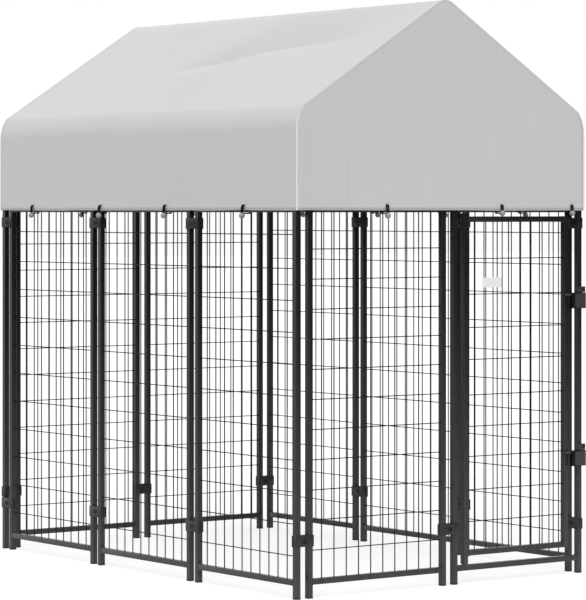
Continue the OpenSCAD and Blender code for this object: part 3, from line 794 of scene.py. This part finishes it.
def makeWelds():
    rails = (run["railLow"], run["railHigh"])
    beads, dabs = bmesh.new(), bmesh.new()
    for group, rows in ((sidePanels, run["sideRows"]), (endPanels, run["endRows"])):
        for place, width in group:
            addBeads(beads, place, 0, width, rails)
            addDabs(dabs, place, 0, width, rows)
    addBeads(beads, doorPanel, 0, front, rails)
    pieceFrom(beads, "railWelds", framePaint, "kennel")
    pieceFrom(dabs, "wireWelds", wirePaint, "kennel")
    beads, dabs = bmesh.new(), bmesh.new()
    addBeads(beads, doorPanel, leaf["hinge"], leaf["latch"], (leaf["low"], leaf["high"]))
    addDabs(dabs, doorPanel, leaf["hinge"], leaf["latch"], leaf["rows"], leaf["shift"])
    pieceFrom(beads, "leafRailWelds", framePaint, "door_leaf")
    pieceFrom(dabs, "leafWireWelds", wirePaint, "door_leaf")


makeWelds()
print("welds laid")


# the wires with their coat of paint on
wireCoat = {"thick": 0.00025, "smoothTo": 40}


def coatWires(nodeName):
    bm = copyOf(nodeName)
    bm.normal_update()
    moved = [v.co + v.normal * wireCoat["thick"] * v.calc_shell_factor() for v in bm.verts]
    for vert, place in zip(bm.verts, moved):
        vert.co = place
    for edge in bm.edges:
        edge.smooth = edge.calc_face_angle(0) < math.radians(wireCoat["smoothTo"])
    piece = pieceFrom(bm, pieceName(nodeName), wirePaint, bodyOf[nodeName])
    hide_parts(nodeName)


wired = [name for name in nodes if slotOf.get(name) == "wire_paint"]
for nodeName in wired:
    coatWires(nodeName)
print("wires coated:", len(wired))


# elastic loops: a doubled strand from the ball through its eyelet and round the top rail
tie = {
    "strand": 0.0048, "apart": 0.0022, "spread": 0.0020, "sideLean": 0.0042, "endLean": -0.001,
    "bend": 0.0035, "inside": 0.0123, "under": 1.2537, "steps": 6, "spreadSteps": 9, "leanSteps": 13,
}


def tieLoop(out, low, top):
    # corners seen along the wall: outward distance and height, the middle ones rounded
    corners = [Vector((out, low)), Vector((out, top)), Vector((-tie["inside"], top)),
               Vector((-tie["inside"], tie["under"])), Vector((out, tie["under"])), Vector((out, low))]
    path = [corners[0].lerp(corners[1], i / tie["steps"]) for i in range(tie["steps"])]
    for before, corner, after in zip(corners, corners[1:], corners[2:]):
        start = corner + (before - corner).normalized() * tie["bend"]
        end = corner + (after - corner).normalized() * tie["bend"]
        for i in range(tie["steps"] + 1):
            t = i / tie["steps"]
            path.append(start * (1 - t) ** 2 + corner * 2 * t * (1 - t) + end * t ** 2)
    path.append(corners[-1])
    return path


def makeTies():
    curve = roundCurve("tieStrands", tie["strand"] / 2)
    for spot in tieSpots:
        onSide = abs(spot.x) > run["halfWidth"]
        away = wallFacing(spot, onSide)
        aside = Vector((-away.y, away.x, 0))
        foot = Vector((spot.x, away.y * run["halfLength"], 0))
        if onSide:
            foot = Vector((away.x * run["halfWidth"], spot.y, 0))
        ball = min(tieBalls, key=lambda b: (b - spot).length)
        lean = tie["sideLean"] if onSide else tie["endLean"]
        path = tieLoop((ball - foot).dot(away), ball.z, spot.z)
        for strand in (-1, 1):
            line = curve.splines.new("POLY")
            line.points.add(len(path) - 1)
            for i, (point, (reach, z)) in enumerate(zip(line.points, path)):
                rise = math.sin(math.pi * min(i / tie["spreadSteps"], 1))
                sway = lean * (1.5 * min(i / tie["steps"], 1) - 0.5) if i < tie["leanSteps"] else 0
                across = strand * (tie["apart"] + tie["spread"] * rise) + sway
                place = foot + away * reach + aside * across
                point.co = (place.x, place.y, z, 1)
    piece = pieceFromCurve(curve, "tieStrands", cordElastic, "kennel")
    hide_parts("tie_cords")


makeTies()
print("ties looped")


# hardware with its edges rounded over, made from the solids
rounding = {
    "clamp_outer_plates": 0.0009, "clamp_inner_plates": 0.0009, "upper_latch_case": 0.0014, "lower_latch_case": 0.0014,
    "upper_slide_bolt": 0.0008, "lower_slide_bolt": 0.0008, "bolt_keepers": 0.0007, "post_feet": 0.0007,
    "post_caps": 0.0007, "clamp_bolts": 0.0006, "clamp_nuts": 0.0006, "latch_screws": 0.0005,
}
edges = {"frameWidth": 0.0008, "sharpFrom": 35}
# nodes finished apart from the rest of their slot
ownPaint = {
    "clamp_bolts": boltZinc, "latch_screws": boltZinc,
    "clamp_outer_plates": clampPaint, "clamp_inner_plates": clampPaint,
    "upper_latch_case": paintedShadeCasePaint, "lower_latch_case": paintedShadeCasePaint,
}


def roundOver(nodeName, width):
    bm = copyOf(nodeName, 1e-5)
    bmesh.ops.dissolve_limit(bm, angle_limit=math.radians(1), verts=bm.verts, edges=bm.edges)
    paint = ownPaint.get(nodeName, bySlot[slotOf[nodeName]])
    piece = pieceFrom(bm, pieceName(nodeName), paint, bodyOf[nodeName])
    edge = piece.modifiers.new("edge", "BEVEL")
    edge.width = width
    edge.segments = 2
    edge.limit_method = "ANGLE"
    edge.angle_limit = math.radians(edges["sharpFrom"])
    edge.harden_normals = True
    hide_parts(nodeName)


for frameName in [name for name in nodes if name.endswith("_frame")] + ["corner_post"]:
    rounding[frameName] = edges["frameWidth"]
for nodeName, width in rounding.items():
    roundOver(nodeName, width)
print("hardware rounded:", len(rounding))


def roundedPlate(middle, size, corner):
    # an upright plate with its four corners rounded
    bm = bmesh.new()
    bmesh.ops.create_cube(bm, size=1, matrix=Matrix.Translation(middle) @ Matrix.Diagonal((*size, 1)))
    corners = [e for e in bm.edges if abs(e.verts[0].co.y - e.verts[1].co.y) > 0.5 * size.y]
    roundEdges(bm, corners, corner, 5)
    return bm


# pressed pad on the front of each latch case; the bare case beside it on the left is near black, painted shade
pad = {"share": 0.17, "inset": 0.0020, "proud": 0.0016, "corner": 0.007, "rim": 0.0007}


def makePad(name, caseName):
    low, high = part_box(caseName)
    left, right = low.x + pad["share"] * (high.x - low.x), high.x - pad["inset"]
    size = Vector((right - left, 2 * pad["proud"], high.z - low.z - 2 * pad["inset"]))
    middle = Vector(((left + right) / 2, low.y, (low.z + high.z) / 2))
    bm = roundedPlate(middle, size, pad["corner"])
    roundEdges(bm, [e for e in bm.edges if max(v.co.y for v in e.verts) < middle.y], pad["rim"])
    pieceFrom(bm, name, latchPaint, bodyOf[caseName], smooth=False)


# black washer behind each clamp bolt's head, its black also standing as painted shade round the head
shadeWasher = {"outer": 0.0083, "thick": 0.0010, "head": 0.006, "lip": 0.0005}


def makeShadeWashers():
    bm = bmesh.new()
    steps = ((shadeWasher["outer"], shadeWasher["thick"]), (shadeWasher["outer"] - shadeWasher["lip"], 2 * shadeWasher["thick"]))
    for low, high in solidsOf("clamp_bolts"):
        middle, size = (low + high) / 2, high - low
        away = wallFacing(middle, size.x > size.y)
        foot = middle + away * (max(size) / 2 - shadeWasher["head"])
        where = Matrix.Translation(foot) @ away.to_track_quat("Z", "Y").to_matrix().to_4x4()
        for radius, reach in steps:
            lift = Matrix.Translation((0, 0, reach / 2))
            bmesh.ops.create_cone(bm, cap_ends=True, segments=24, radius1=radius, radius2=radius - shadeWasher["lip"],
                                  depth=reach, matrix=where @ lift)
    pieceFrom(bm, "clampWashers", blackPlastic, "kennel", smooth=False)


makePad("upperLatchPad", "upper_latch_case")
makePad("lowerLatchPad", "lower_latch_case")
makeShadeWashers()
print("pads and washers made")


tag = {"corner": 0.004, "rim": 0.0005}


def makeTag():
    low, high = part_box("bare_tag")
    size = high - low
    bm = roundedPlate((low + high) / 2, size, tag["corner"])
    rims = [e for e in bm.edges if abs(e.verts[0].co.y - e.verts[1].co.y) < 0.1 * size.y]
    roundEdges(bm, rims, tag["rim"])
    piece = pieceFrom(bm, "bareTag", tagPlastic, "door_leaf", smooth=False)
    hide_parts("bare_tag")


makeTag()
print("tag made")


studio = {
    "world": 0.65, "sun": 1.55, "sunFrom": (-0.45, -0.53, 0.72), "sunSoft": 50,
    "floorWide": 120, "floorPaint": 0.34, "floorGlow": 0.76, "floorBounce": 0.5,
    "cardTo": (0.593, -0.805, 0), "cardAway": 18, "cardWide": 26, "cardHigh": 14, "cardGlow": 0.2,
}


def setWorld():
    sky = Sky("studio")
    strength = sky.seen() * (1 - studio["world"]) + studio["world"]
    sky.show(sky.node("Background", inputs={"Color": (1, 1, 1, 1), "Strength": strength}))
    bpy.context.scene.world = sky.world


def setSun():
    lamp = bpy.data.lights.new("keySun", "SUN")
    lamp.energy = studio["sun"]
    lamp.angle = math.radians(studio["sunSoft"])
    key = bpy.data.objects.new("keySun", lamp)
    key.rotation_euler = Vector(studio["sunFrom"]).to_track_quat("Z", "Y").to_euler()
    bpy.context.scene.collection.objects.link(key)


def stagePlane(name, finish, place):
    bm = bmesh.new()
    bmesh.ops.create_grid(bm, x_segments=1, y_segments=1, size=0.5, matrix=place)
    mesh = bpy.data.meshes.new(name)
    bm.to_mesh(mesh)
    bm.free()
    mesh.materials.append(finish.material)
    plane = bpy.data.objects.new(name, mesh)
    bpy.context.scene.collection.objects.link(plane)
    return plane


def setFloor():
    ground = Finish("paleFloor")
    paint = ground.node("BsdfDiffuse", inputs={"Color": (*grey(studio["floorPaint"]), 1)})
    glow = ground.node("Emission", inputs={"Color": (1, 1, 1, 1), "Strength": studio["floorGlow"]})
    bright = ground.node("AddShader", inputs={0: paint, 1: glow})
    dim = ground.node("BsdfDiffuse", inputs={"Color": (*grey(studio["floorBounce"]), 1)})
    ground.show(ground.node("MixShader", inputs={0: ground.seen(), 1: dim, 2: bright}))
    stagePlane("floor", ground, Matrix.Diagonal((studio["floorWide"], studio["floorWide"], 1, 1)))


def setCard():
    # dark card far off to the front right, seen in the paint's shine only
    dull = Finish("darkCard")
    dull.show(dull.node("Emission", inputs={"Color": (1, 1, 1, 1), "Strength": studio["cardGlow"]}))
    to = Vector(studio["cardTo"])
    middle = to * studio["cardAway"] + Vector((0, -run["halfLength"], studio["cardHigh"] / 2))
    facing = to.to_track_quat("Z", "Y").to_matrix().to_4x4()
    size = Matrix.Diagonal((studio["cardWide"], studio["cardHigh"], 1, 1))
    card = stagePlane("darkCard", dull, Matrix.Translation(middle) @ facing @ size)
    for kind in ("camera", "diffuse", "transmission", "volume_scatter", "shadow"):
        setattr(card, "visible_" + kind, False)


setWorld()
setSun()
setFloor()
setCard()
bpy.context.scene.view_settings.view_transform = "Standard"
print("studio set")
